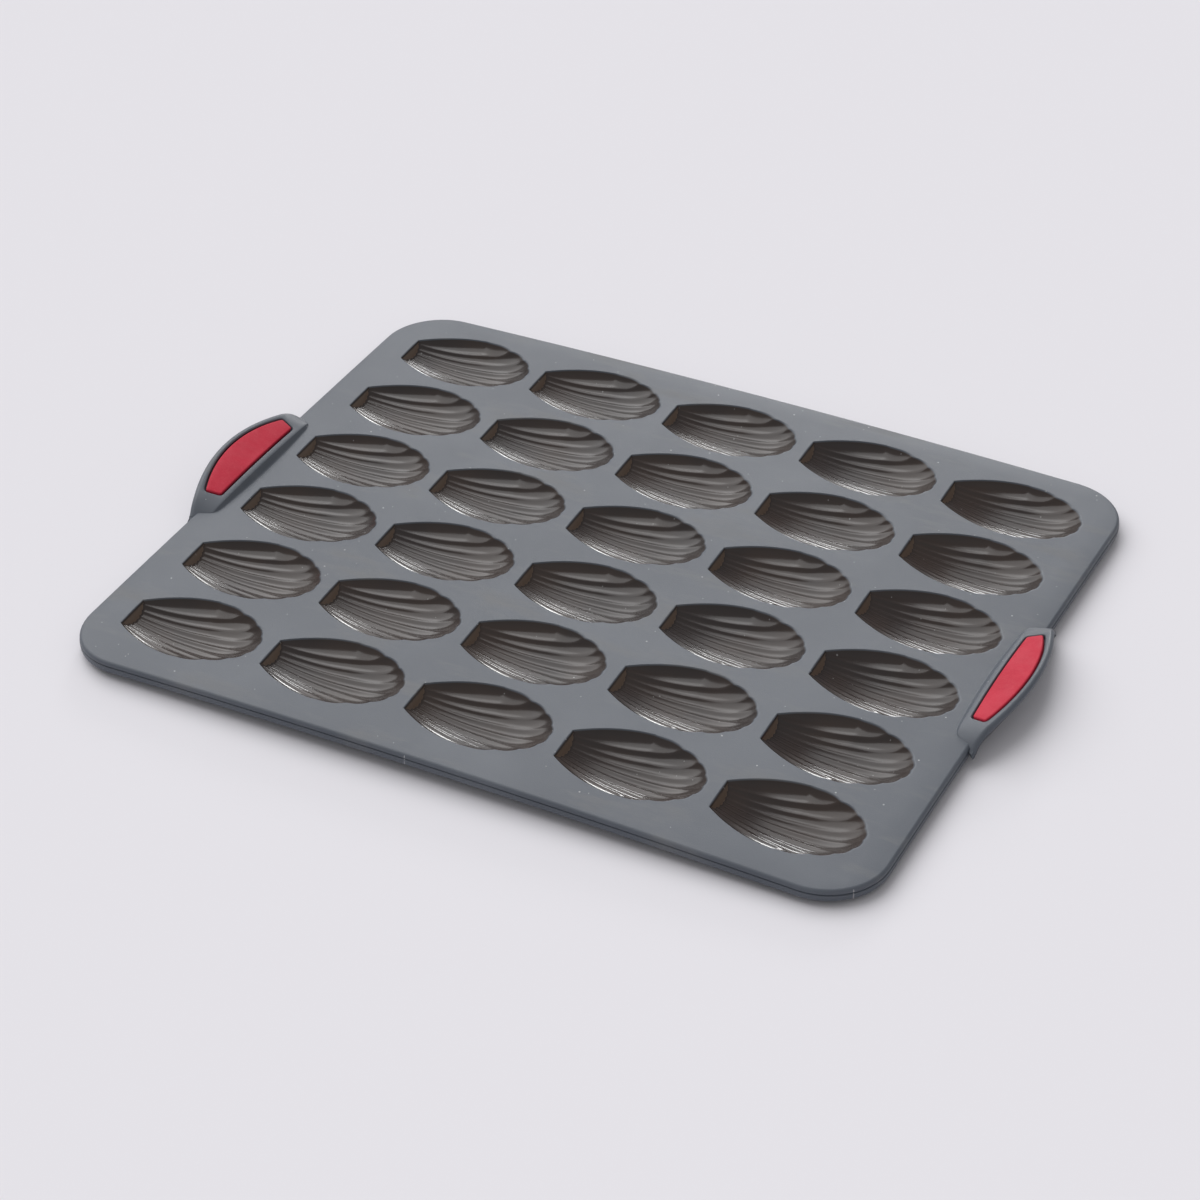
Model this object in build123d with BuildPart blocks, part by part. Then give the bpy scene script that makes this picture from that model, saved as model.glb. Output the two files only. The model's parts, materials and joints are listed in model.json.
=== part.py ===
from build123d import *
import os
from math import cos, hypot, radians, sin, sqrt, tan

# Madeleine pan: a flexible silicone mould with thirty shell cavities, a steel wire ring moulded
# into its rim, and a red grip pad pressed into the pocket of each of its two handles.
# Millimetres, +Z up. X runs from handle to handle. The origin is on the table, under the centre
# of the pan, and the pan stands on the small flats under its cups.

# Layout of the cavities
columns = 5
rows = 6
column_pitch = 60.0
row_pitch = 41.5

# One shell cavity: a narrow straight end, a scalloped round end, and crests that fan out from
# a hinge point behind the narrow end, as on a scallop shell
cavity_length = 54.0
cavity_width = 36.0
narrow_width = 15.6
widest_from_end = 29.0
deepest_from_end = 27.0
cusp_width = 33.0
crest_depth = 6.6
narrow_depth = 2.7
end_wall_lean = 30.0
cavity_shift = 0.5
hinge_setback = 13.2
crest_step = 5.7
flute_pairs = 4
flute_bulge_share = 0.2
round_end_power = 3.5
side_rise_share = 1.3
side_spread_share = 0.25

# Deck, cup walls and rim
end_border = 10.5
side_border = 9.7
deck_corner_radius = 24.0
deck_thickness = 1.8
cup_wall = 1.2
cup_grow_share = 0.7
foot_flat_depth = 0.3
rim_height = 5.1
rim_width = 6.5
rim_edge_radius = 1.3
groove_drop = 1.9
groove_height = 0.5
groove_depth = 0.4

# Steel ring inside the rim, and the holes that the pins of the moulding tool leave under it
wire_diameter = 2.4
wire_inset = 3.2
wire_drop = 2.9
pin_hole_diameter = 2.0
pins_on_long_side = 4
pins_on_short_side = 4
pin_spacing_long = 80.0
pin_spacing_short = 66.0

# Handles: an arched, tilted wing at each end, with a pocket for its grip pad
handle_span = 78.0
handle_reach = 11.4
handle_inboard = 8.4
handle_corner = 3.4
handle_tilt = 17.0
handle_rise = 4.2
handle_thickness = 5.6
handle_arch_radius = 400.0
handle_ramp_length = 9.0
handle_ramp_drop = 4.0

# Grip pads
pad_inner_span = 52.8
pad_outer_span = 56.6
pad_inboard = 4.4
pad_shoulder = 1.4
pad_crown = 7.7
pad_corner_radius = 1.3
pad_edge_radius = 0.6
pad_thickness = 2.6
pad_proud = 0.2
pad_gap = 0.5
peg_diameter = 5.0
peg_length = 1.3
peg_clearance = 0.1
peg_spacing = 30.0
peg_outboard = 1.6

# Stations of the lofted cavity: shares of the way from the narrow end to the deepest section,
# then angles of the sections that swing up round the closed end
straight_shares = (-0.11, 0.0, 0.19, 0.41, 0.67, 1.0)
swing_angles = (25.0, 45.0, 58.0, 67.0, 73.5, 78.0)
swing_height_share = 1.1
lid_share = 0.36
overrun = 1.0
bisection_steps = 50

field_length = columns * column_pitch
field_width = rows * row_pitch
deck_length = field_length + 2 * end_border
deck_width = field_width + 2 * side_border
half_length = deck_length / 2
half_width = deck_width / 2
swing_height = swing_height_share * crest_depth
lid_radius = lid_share * swing_height
outer_grow = cup_grow_share * cup_wall


def half_width_at(x):
    """Half the width of the cavity's mouth, at a distance x from its narrow end."""
    taper = max(0.0, 1 - x / widest_from_end)
    return cavity_width / 2 - (cavity_width - narrow_width) / 2 * taper**2


def middle_depth_at(x):
    """Depth of the middle crest, at a distance x from the narrow end."""
    taper = max(0.0, 1 - x / deepest_from_end)
    return crest_depth - (crest_depth - narrow_depth) * taper**2


def rim_run(slope, grow):
    """How far past the deepest section a crest's ray meets the ellipse of the cusps."""
    reach = cavity_length - deepest_from_end + grow
    side = cusp_width / 2 + grow
    start = slope * (deepest_from_end + hinge_setback)
    square = 1 / reach**2 + (slope / side) ** 2
    cross = 2 * slope * start / side**2
    rest = (start / side) ** 2 - 1
    return (-cross + sqrt(cross**2 - 4 * square * rest)) / (2 * square)


def crest_point(index, x, grow):
    """Offset across and height over the mouth of one crest, at a distance x from the narrow end."""
    slope = tan(radians(crest_step * index))
    near = min(x, deepest_from_end)
    across_share = slope * (near + hinge_setback) / (half_width_at(near) + grow)
    depth = middle_depth_at(near) * (1 - across_share**2)
    across = slope * (x + hinge_setback)
    if x <= deepest_from_end:
        return across, -depth
    run = (x - deepest_from_end) / rim_run(slope, grow)
    if run <= 1:
        return across, -depth * (1 - run**round_end_power)
    return across, depth * round_end_power * (run - 1)


def crest_on_swing(index, angle, grow):
    """Where one crest passes through a section that swings up round the closed end."""
    low = deepest_from_end
    high = deepest_from_end + cavity_length + cavity_length
    for _ in range(bisection_steps):
        middle = (low + high) / 2
        across, height = crest_point(index, middle, grow)
        if middle - deepest_from_end < (swing_height - height) * tan(radians(angle)):
            low = middle
        else:
            high = middle
    across, height = crest_point(index, low, grow)
    return across, -(swing_height - height) / cos(radians(angle))


def half_section(angle, x, grow):
    """Crest points of one section from the middle outward, measured from the swing axis."""
    if angle == 0:
        crests = [crest_point(index, x, grow) for index in range(flute_pairs)]
        points = [(across, height - swing_height) for across, height in crests]
        points.append((half_width_at(x) + grow, -swing_height))
        return points
    points = [crest_on_swing(index, angle, grow) for index in range(flute_pairs)]
    steep = tan(radians(angle))
    run = swing_height * steep / (1 + side_rise_share * steep)
    across = max(cavity_width / 2 + grow + side_spread_share * run, points[-1][0] + overrun)
    points.append((across, -(swing_height - side_rise_share * run) / cos(radians(angle))))
    return points


def shell_solid(grow, drop):
    """A solid of the shell's shape, grown sideways and let down under the deck's top."""
    stations = [(0, share * deepest_from_end) for share in straight_shares]
    stations += [(angle, deepest_from_end) for angle in swing_angles]
    with BuildPart() as shell:
        for angle, x in stations:
            section_plane = Plane(
                origin=(x, 0, swing_height - drop),
                x_dir=(0, 1, 0),
                z_dir=(cos(radians(angle)), 0, sin(radians(angle))),
            )
            half = half_section(angle, x, grow)
            row = [(-across, height) for across, height in reversed(half[1:])] + half
            with BuildSketch(section_plane):
                with BuildLine():
                    for start, end in zip(row, row[1:]):
                        chord = hypot(end[0] - start[0], end[1] - start[1])
                        SagittaArc(start, end, -flute_bulge_share * chord)
                    Polyline(row[-1], (row[-1][0], -lid_radius), (row[0][0], -lid_radius), row[0])
                make_face()
        loft()
        end_wall = Plane(
            origin=(-grow, 0, -drop),
            x_dir=(0, 1, 0),
            z_dir=(cos(radians(end_wall_lean)), 0, sin(radians(end_wall_lean))),
        )
        split(bisect_by=end_wall, keep=Keep.TOP)
    return shell.part


# Depth of the two middle flutes, which are the lowest, and from it the height of the deck
first_crest_across, first_crest_height = crest_point(1, deepest_from_end, 0)
flute_chord = hypot(first_crest_across, crest_depth + first_crest_height)
flute_depth = (crest_depth - first_crest_height) / 2 + flute_bulge_share * flute_chord
deck_height = flute_depth + cup_wall - foot_flat_depth
rim_bottom = deck_height - rim_height

# The wing's own plane: its origin is the middle of the wing's top at the edge of the deck, its
# x runs outward and up, its y runs along the edge
wing_plane = Plane(
    origin=(half_length, 0, deck_height + handle_rise),
    x_dir=(cos(radians(handle_tilt)), 0, sin(radians(handle_tilt))),
    z_dir=(-sin(radians(handle_tilt)), 0, cos(radians(handle_tilt))),
)
# A section across the wing: its x runs along the deck's edge, its y out of the wing's top
wing_section_plane = Plane(
    origin=wing_plane.origin,
    x_dir=(0, 1, 0),
    z_dir=wing_plane.x_dir,
)


def arch_drop(across):
    """How far the wing's arched top lies under its middle."""
    return handle_arch_radius - sqrt(handle_arch_radius**2 - across**2)


# Wall of one cup under its cavity, with heights measured from the top of the deck: cut off
# inside the deck, and cut flat where it stands on the table
with BuildPart() as cup:
    add(shell_solid(outer_grow, cup_wall))
    split(bisect_by=Plane.XY.offset(-deck_thickness / 2), keep=Keep.BOTTOM)
    split(bisect_by=Plane.XY.offset(-deck_height), keep=Keep.TOP)

cavity = shell_solid(0, 0)
mouth_x = cavity_shift - cavity_length / 2
mouth_places = [
    Location((place.position.X + mouth_x, place.position.Y, deck_height))
    for place in GridLocations(column_pitch, row_pitch, columns, rows)
]

# Steel ring: one closed wire bent round the four corners
ring_half_length = half_length - wire_inset
ring_half_width = half_width - wire_inset
with BuildSketch(Plane.XY.offset(deck_height - wire_drop)) as ring_loop:
    RectangleRounded(2 * ring_half_length, 2 * ring_half_width, deck_corner_radius - wire_inset)
ring_path = ring_loop.sketch.face().outer_wire()
with BuildPart() as rim_frame:
    with BuildSketch(Plane(origin=ring_path @ 0, z_dir=ring_path % 0)):
        Circle(wire_diameter / 2)
    sweep(path=ring_path)

# Handle wing: the plan outline through the whole thickness, kept only inside the arched band
wing_half = handle_span / 2
with BuildPart() as wing:
    with BuildSketch(wing_plane):
        with BuildLine():
            ThreePointArc((0, -wing_half), (handle_reach, 0), (0, wing_half))
            Polyline(
                (0, wing_half),
                (-handle_inboard + handle_corner, wing_half),
                (-handle_inboard, wing_half - handle_corner),
                (-handle_inboard, -wing_half + handle_corner),
                (-handle_inboard + handle_corner, -wing_half),
                (0, -wing_half),
            )
        make_face()
    extrude(amount=-handle_thickness - handle_ramp_drop - arch_drop(wing_half))
    ramp_start = wing_half - handle_ramp_length
    ramp_top = -arch_drop(ramp_start)
    ramp_end = ramp_top - handle_ramp_drop
    with BuildSketch(wing_section_plane):
        with BuildLine():
            ThreePointArc((-ramp_start, ramp_top), (0, 0), (ramp_start, ramp_top))
            Polyline(
                (ramp_start, ramp_top),
                (wing_half, ramp_end),
                (wing_half, ramp_end - handle_thickness),
                (ramp_start, ramp_top - handle_thickness),
            )
            ThreePointArc(
                (ramp_start, ramp_top - handle_thickness),
                (0, -handle_thickness),
                (-ramp_start, ramp_top - handle_thickness),
            )
            Polyline(
                (-ramp_start, ramp_top - handle_thickness),
                (-wing_half, ramp_end - handle_thickness),
                (-wing_half, ramp_end),
                (-ramp_start, ramp_top),
            )
        make_face()
    extrude(amount=handle_reach + handle_inboard, both=True, mode=Mode.INTERSECT)
    split(bisect_by=Plane.XY.offset(rim_bottom), keep=Keep.TOP)


def pad_outline(grow):
    """Face of the grip pad in the wing's plane, with its corners rounded, grown by a gap."""
    with BuildSketch() as face:
        with BuildLine():
            Polyline(
                (pad_shoulder, -pad_outer_span / 2),
                (-pad_inboard, -pad_inner_span / 2),
                (-pad_inboard, pad_inner_span / 2),
                (pad_shoulder, pad_outer_span / 2),
            )
            ThreePointArc(
                (pad_shoulder, pad_outer_span / 2),
                (pad_shoulder + pad_crown, 0),
                (pad_shoulder, -pad_outer_span / 2),
            )
        make_face()
        fillet(face.vertices(), pad_corner_radius)
        if grow > 0:
            offset(amount=grow)
    return face.sketch


pad_floor = -arch_drop(pad_outer_span / 2) + pad_proud - pad_thickness
pad_floor_plane = wing_plane.offset(pad_floor)
peg_places = [(peg_outboard, -peg_spacing / 2), (peg_outboard, peg_spacing / 2)]

# Grip pad: a flat-bottomed pad whose top follows the wing's arch, with two pegs under it
with BuildPart() as right_grip_pad:
    with BuildSketch(pad_floor_plane):
        add(pad_outline(0))
    extrude(amount=pad_thickness + arch_drop(pad_outer_span / 2))
    with BuildSketch(wing_section_plane):
        with BuildLine():
            ThreePointArc(
                (-wing_half, pad_proud - arch_drop(wing_half)),
                (0, pad_proud),
                (wing_half, pad_proud - arch_drop(wing_half)),
            )
            Polyline(
                (wing_half, pad_proud - arch_drop(wing_half)),
                (wing_half, -handle_thickness - pad_thickness),
                (-wing_half, -handle_thickness - pad_thickness),
                (-wing_half, pad_proud - arch_drop(wing_half)),
            )
        make_face()
    extrude(amount=handle_reach + handle_inboard, both=True, mode=Mode.INTERSECT)
    pad_top = right_grip_pad.faces().sort_by(Axis(wing_plane.origin, wing_plane.z_dir))[-1]
    fillet(pad_top.edges(), pad_edge_radius)
    with BuildSketch(pad_floor_plane):
        with Locations(*peg_places):
            Circle(peg_diameter / 2)
    extrude(amount=-peg_length)

with BuildPart() as left_grip_pad:
    mirror(right_grip_pad.part, about=Plane.YZ)

# Pocket of the right handle with its two peg holes
with BuildPart() as pocket:
    with BuildSketch(pad_floor_plane):
        add(pad_outline(pad_gap))
    extrude(amount=pad_thickness + handle_thickness)
    with BuildSketch(pad_floor_plane):
        with Locations(*peg_places):
            Circle(peg_diameter / 2 + peg_clearance)
    extrude(amount=-peg_length - peg_clearance)

# Silicone mould, in one piece
with BuildPart() as mould_body:
    with BuildSketch(Plane.XY.offset(rim_bottom)):
        RectangleRounded(deck_length, deck_width, deck_corner_radius)
    extrude(amount=rim_height)
    fillet(mould_body.faces().sort_by(Axis.Z)[-1].edges(), rim_edge_radius)
    with BuildSketch(Plane.XY.offset(rim_bottom)):
        RectangleRounded(
            deck_length - 2 * rim_width, deck_width - 2 * rim_width, deck_corner_radius - rim_width
        )
    extrude(amount=rim_height - deck_thickness, mode=Mode.SUBTRACT)
    with BuildSketch(Plane.XY.offset(deck_height - groove_drop - groove_height)):
        RectangleRounded(
            deck_length + 2 * overrun, deck_width + 2 * overrun, deck_corner_radius + overrun
        )
        RectangleRounded(
            deck_length - 2 * groove_depth,
            deck_width - 2 * groove_depth,
            deck_corner_radius - groove_depth,
            mode=Mode.SUBTRACT,
        )
    extrude(amount=groove_height, mode=Mode.SUBTRACT)
    add(wing.part)
    mirror(wing.part, about=Plane.YZ)
    add(pocket.part, mode=Mode.SUBTRACT)
    mirror(pocket.part, about=Plane.YZ, mode=Mode.SUBTRACT)
    add(rim_frame.part, mode=Mode.SUBTRACT)
    with BuildSketch(Plane.XY.offset(rim_bottom)):
        with GridLocations(pin_spacing_long, 2 * ring_half_width, pins_on_long_side, 2):
            Circle(pin_hole_diameter / 2)
        with GridLocations(2 * ring_half_length, pin_spacing_short, 2, pins_on_short_side):
            Circle(pin_hole_diameter / 2)
    extrude(amount=rim_height - wire_drop, mode=Mode.SUBTRACT)
    with Locations(*mouth_places):
        add(cup.part, clean=False)
        add(cavity, clean=False, mode=Mode.SUBTRACT)

os.makedirs("parts", exist_ok=True)
mould_body.part.label = "mould_body"
rim_frame.part.label = "rim_frame"
left_grip_pad.part.label = "left_grip_pad"
right_grip_pad.part.label = "right_grip_pad"
export_step(mould_body.part, "parts/mould_body.step")
export_step(rim_frame.part, "parts/rim_frame.step")
export_step(left_grip_pad.part, "parts/left_grip_pad.step")
export_step(right_grip_pad.part, "parts/right_grip_pad.step")
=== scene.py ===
import json
from math import acos, asin, atan2, cos, hypot, pi, radians, sin, sqrt, tan

import bmesh
import bpy
import numpy as np
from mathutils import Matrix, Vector
from mathutils.geometry import delaunay_2d_cdt


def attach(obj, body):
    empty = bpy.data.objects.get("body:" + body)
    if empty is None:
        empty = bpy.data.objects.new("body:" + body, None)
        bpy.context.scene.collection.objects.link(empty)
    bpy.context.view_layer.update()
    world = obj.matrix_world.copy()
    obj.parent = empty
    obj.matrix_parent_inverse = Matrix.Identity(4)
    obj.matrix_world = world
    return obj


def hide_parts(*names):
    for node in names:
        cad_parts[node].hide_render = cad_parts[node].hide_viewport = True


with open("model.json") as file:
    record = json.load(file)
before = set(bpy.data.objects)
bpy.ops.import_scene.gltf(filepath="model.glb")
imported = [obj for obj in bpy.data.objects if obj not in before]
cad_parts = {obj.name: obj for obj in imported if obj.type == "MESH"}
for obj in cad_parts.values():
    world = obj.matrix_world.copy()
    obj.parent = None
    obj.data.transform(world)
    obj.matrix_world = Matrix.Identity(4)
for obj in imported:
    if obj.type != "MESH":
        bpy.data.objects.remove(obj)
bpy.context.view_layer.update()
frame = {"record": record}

# Silicone mould, its shell cavities: a narrow straight end, a scalloped round end, and eight flutes
# between crests that fan out from a point behind the narrow end. They are pressed in grey silicone
# in a heated tool, and the same form, grown by the wall, is the cup that shows from below.
cavity_length = 0.054
cavity_width = 0.036
narrow_width = 0.0156
widest_from_end = 0.029
deepest_from_end = 0.027
cusp_width = 0.0342
crest_depth = 0.0066
narrow_depth = 0.0027
end_wall_lean = radians(30.0)
hinge_setback = 0.0290
crest_step = radians(4.1)
flute_pairs = 4
flute_bulge_share = 0.18
rim_bulge_share = 0.11
round_end_power = 3.5
side_rise_share = 1.3
side_spread_share = 0.25
swing_height = 1.1 * crest_depth
swing_end = radians(80.0)
straight_stations = 76
swing_stations = 150
first_swing_angle = 0.01
station_overrun = 0.0022
crest_search_steps = 40
side_search_steps = 30
side_share_range = (0.5, 1.3)
side_lane_easing = 1.25
least_side_flute = 0.001
lip_rows = 4
wall_foot_shares = (0.86, 0.93)
crest_easing = 0.4


def half_width_at(x):
    taper = max(0.0, 1 - x / widest_from_end)
    return cavity_width / 2 - (cavity_width - narrow_width) / 2 * taper**2


def middle_depth_at(x):
    taper = max(0.0, 1 - x / deepest_from_end)
    return crest_depth - (crest_depth - narrow_depth) * taper**2


def rim_run(slope, grow):
    """How far past the deepest section a crest's ray meets the ellipse of the cusps."""
    reach = cavity_length - deepest_from_end + grow
    side = cusp_width / 2 + grow
    start = slope * (deepest_from_end + hinge_setback)
    square = 1 / reach**2 + (slope / side) ** 2
    cross = 2 * slope * start / side**2
    rest = (start / side) ** 2 - 1
    return (-cross + sqrt(cross**2 - 4 * square * rest)) / (2 * square)


def crest_point(index, x, grow):
    """Offset across and height over the mouth of one crest."""
    slope = tan(crest_step * index)
    near = min(x, deepest_from_end)
    across_share = slope * (near + hinge_setback) / (half_width_at(near) + grow)
    depth = middle_depth_at(near) * (1 - across_share**2)
    across = slope * (x + hinge_setback)
    if x <= deepest_from_end:
        return across, -depth
    run = (x - deepest_from_end) / rim_run(slope, grow)
    if run <= 1:
        return across, -depth * (1 - run**round_end_power)
    return across, depth * round_end_power * (run - 1)


def half_section(angle, x, grow):
    """Crest points from the middle outward, measured from the axis that the sections swing about."""
    if angle == 0:
        crests = [crest_point(index, x, grow) for index in range(flute_pairs)]
        return [(across, height - swing_height) for across, height in crests] + [
            (half_width_at(x) + grow, -swing_height)
        ]
    points = []
    for index in range(flute_pairs):
        low, high = deepest_from_end, deepest_from_end + 2 * cavity_length
        for _ in range(crest_search_steps):
            middle = (low + high) / 2
            across, height = crest_point(index, middle, grow)
            if middle - deepest_from_end < (swing_height - height) * tan(angle):
                low = middle
            else:
                high = middle
        across, height = crest_point(index, low, grow)
        points.append((across, -(swing_height - height) / cos(angle)))
    steep = tan(angle)
    run = swing_height * steep / (1 + side_rise_share * steep)
    across = cavity_width / 2 + grow + side_spread_share * run
    across = max(across, points[-1][0] + least_side_flute)
    points.append((across, -(swing_height - side_rise_share * run) / cos(angle)))
    return points


def flute_point(start, end, share, angle):
    """A point on the arc of one flute, flatter towards the round rim; a share over 1 runs past its end."""
    chord = Vector(end) - Vector(start)
    length = chord.length
    bulge_share = flute_bulge_share + (rim_bulge_share - flute_bulge_share) * angle / swing_end
    sag = bulge_share * length
    radius = (length**2 / 4 + sag**2) / (2 * sag)
    along = chord / length
    out = Vector((along.y, -along.x))
    angle = (2 * share - 1) * asin(length / 2 / radius)
    return (Vector(start) + Vector(end)) / 2 - out * (radius - sag) + radius * (
        out * cos(angle) + along * sin(angle)
    )


def place_on_section(point, angle, x, drop):
    """From a section's own plane to the cavity's frame: x from the narrow end, z from the deck."""
    origin_x = x if angle == 0 else deepest_from_end
    return (
        origin_x - sin(angle) * point[1],
        point[0],
        swing_height - drop + cos(angle) * point[1],
    )


def soft_floor(height, level, blend):
    """Height cut off at a level, with a rounded lip instead of a corner."""
    near = np.maximum(blend - np.abs(height - level), 0) / blend
    return np.minimum(height, level) - near**2 * blend / 4


def shell_skin(grow, drop, level, blend, inner_lanes, outer_lanes, straight_rows, swing_rows, wall_rows):
    """Grid of points over one shell, as rows of lanes that end on its mouth at the level given."""
    lip = level + blend
    stations = []
    for x in np.linspace(-station_overrun, deepest_from_end, straight_stations):
        stations.append((0.0, float(x)))
    first_swing = len(stations)
    for angle in np.linspace(first_swing_angle, swing_end, swing_stations):
        stations.append((float(angle), deepest_from_end))
    sections = [half_section(angle, x, grow) for angle, x in stations]

    side_shares = []
    for (angle, x), section in zip(stations[:first_swing], sections):
        low, high = side_share_range
        for _ in range(side_search_steps):
            middle = (low + high) / 2
            side_point = flute_point(section[-2], section[-1], middle, angle)
            height = place_on_section(side_point, angle, x, drop)[2]
            if height < lip:
                low = middle
            else:
                high = middle
        side_shares.append(low)
    side_shares += [side_shares[-1]] * (len(stations) - first_swing)

    lanes = []
    for flute in range(flute_pairs - 1):
        lanes += [(flute, share) for share in np.arange(inner_lanes) / inner_lanes]
    side_lanes = 1 - (1 - np.linspace(0, 1, outer_lanes)) ** side_lane_easing
    lanes += [(flute_pairs - 1, share) for share in side_lanes]

    rows = []
    for flute, share in lanes:
        track = []
        for (angle, x), section, side in zip(stations, sections, side_shares):
            part = share * side if flute == flute_pairs - 1 else share
            point = flute_point(section[flute], section[flute + 1], part, angle)
            track.append(place_on_section(point, angle, x, drop))
        track = np.array(track)
        wall_side = (track[:, 0] + grow) * cos(end_wall_lean)
        wall_side = wall_side + (track[:, 2] + drop) * sin(end_wall_lean)
        foot_at = int(np.argmax(wall_side > 0))
        cut = wall_side[foot_at - 1] / (wall_side[foot_at - 1] - wall_side[foot_at])
        foot = foot_at - 1 + cut

        def station_at_height(height):
            above = np.nonzero(track[first_swing:, 2] >= height)[0]
            index = first_swing + int(above[0]) if len(above) else len(track) - 1
            gap = track[index, 2] - track[index - 1, 2]
            return index - 1 + min(1.0, max(0.0, (height - track[index - 1, 2]) / max(gap, 1e-9)))

        end = station_at_height(lip)
        before = max(station_at_height(level - blend), first_swing + 0.5)
        before = min(before, end - 0.001)
        lengths = np.concatenate([[0], np.cumsum(np.linalg.norm(np.diff(track, axis=0), axis=1))])
        numbers = np.arange(len(track))
        straight_end = np.interp(first_swing, numbers, lengths)
        foot_length = np.interp(foot, numbers, lengths)
        before_length = np.interp(before, numbers, lengths)
        row_lengths = [
            np.linspace(foot_length, straight_end, straight_rows + 1),
            np.linspace(straight_end, before_length, swing_rows + 1)[1:],
        ]
        marks = np.interp(np.concatenate(row_lengths), lengths, numbers)
        marks = np.concatenate([marks, np.linspace(before, end, lip_rows + 1)[1:]])
        lane = np.stack([np.interp(marks, numbers, track[:, k]) for k in range(3)], axis=1)
        rows.append(lane)
    half = np.array(rows)

    feet = half[:, 0]
    top_x = -grow - (lip + drop) * tan(end_wall_lean)
    tops = np.stack(
        [
            np.full(len(feet), top_x),
            np.linspace(0, 1, len(feet)) * feet[-1, 1],
            np.full(len(feet), lip),
        ],
        axis=1,
    )
    shares = np.concatenate([np.linspace(0, wall_foot_shares[0], wall_rows)[:-1], wall_foot_shares])
    wall = np.stack([tops + (feet - tops) * share for share in shares], axis=1)
    half = np.concatenate([wall, half], axis=1)
    mirrored = half[:0:-1] * np.array([1, -1, 1])
    return np.concatenate([mirrored, half])


def round_the_crests(grid):
    """Takes the edge off the crests by easing each point towards its neighbours across."""
    beside = (grid[:-2, 1:, 2] + grid[2:, 1:, 2]) * crest_easing / 2
    grid[1:-1, 1:, 2] = grid[1:-1, 1:, 2] * (1 - crest_easing) + beside
    return grid


def grid_faces(grid, up):
    """Corner lists of the grid's quads, and the loop of point numbers round its edge."""
    lanes, rows = grid.shape[:2]
    faces = []
    for lane in range(lanes - 1):
        for row in range(rows - 1):
            a = lane * rows + row
            quad = (a, a + 1, a + rows + 1, a + rows)
            faces.append(quad[::-1] if up else quad)
    edge = list(range(rows))
    edge += [lane * rows + rows - 1 for lane in range(1, lanes)]
    edge += [(lanes - 1) * rows + row for row in range(rows - 2, -1, -1)]
    edge += [lane * rows for lane in range(lanes - 2, 0, -1)]
    return faces, edge


def fill_flat(loops, extra, keep):
    """Triangles between closed loops of plan points, with extra points inside."""
    points, edges = [], []
    for loop in loops:
        start = len(points)
        points += [Vector(p[:2]) for p in loop]
        edges += [(start + k, start + (k + 1) % len(loop)) for k in range(len(loop))]
    points += [Vector(p) for p in extra]
    same_place = 1e-7
    out, _, faces, *_ = delaunay_2d_cdt(points, edges, [], 0, same_place)
    kept = []
    for face in faces:
        middle = sum((out[k] for k in face), Vector((0, 0))) / len(face)
        if keep(middle):
            kept.append(face)
    return [(p.x, p.y) for p in out], kept


def inside(point, loop):
    """Whether a plan point lies inside a closed loop."""
    x, y = point[0], point[1]
    hit = False
    for (ax, ay), (bx, by) in zip(loop, loop[1:] + loop[:1]):
        if (ay > y) != (by > y) and x < ax + (y - ay) * (bx - ax) / (by - ay):
            hit = not hit
    return hit


# Silicone mould, its deck and rim: the slightly arched sheet that joins the thirty cups, and the rim
# that hangs round it and hides the steel ring. All is one pressing with the cups, so every edge has
# a small rounding, and the rim shows the line where the halves of the tool meet.
columns = 5
rows = 6
column_pitch = 0.060
row_pitch = 0.0415
end_border = 0.0105
side_border = 0.0097
cavity_shift = 0.0005
deck_corner_radius = 0.024
deck_thickness = 0.0018
cup_wall = 0.0012
cup_grow = 0.7 * cup_wall
rim_height = 0.0046
rim_width = 0.0065
rim_edge_radius = 0.0013
arch_lift = 0.00206
arch_along = -0.10348
arch_across = -0.05278
arch_twist = 0.00944
lip_blend = 0.0005
cup_lip_blend = 0.0006
polish_depth = 0.0011
# End walls get the mark 2, which paints a paler brown there as the glow of light through the thin wall
end_wall_glow_mark = 2
shell_turn = radians(1.5)
shell_aside = 0.0003
cell_steps_x, cell_steps_y = 12, 8
spare_steps_x, spare_steps_y = 11, 8
spare_clearance = 0.0012
least_step = 4e-6
weld_distance = 2e-6
mould_sharp_degrees = 75

deck_top = frame["record"]["physics"]["openings"][0]["box_m"][1][2]
half_length = columns * column_pitch / 2 + end_border
half_width = rows * row_pitch / 2 + side_border
field_x = columns * column_pitch / 2
field_y = rows * row_pitch / 2
mouth_x = cavity_shift - cavity_length / 2


def on_arch(points):
    """Points made for a flat deck, laid on the arched one; nothing sinks under the table."""
    x, y = points[:, 0], points[:, 1]
    points[:, 2] += arch_lift + arch_along * x**2 + arch_across * y**2 + arch_twist * x * y
    points[:, 2] = np.maximum(points[:, 2], 0)
    return points


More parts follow.
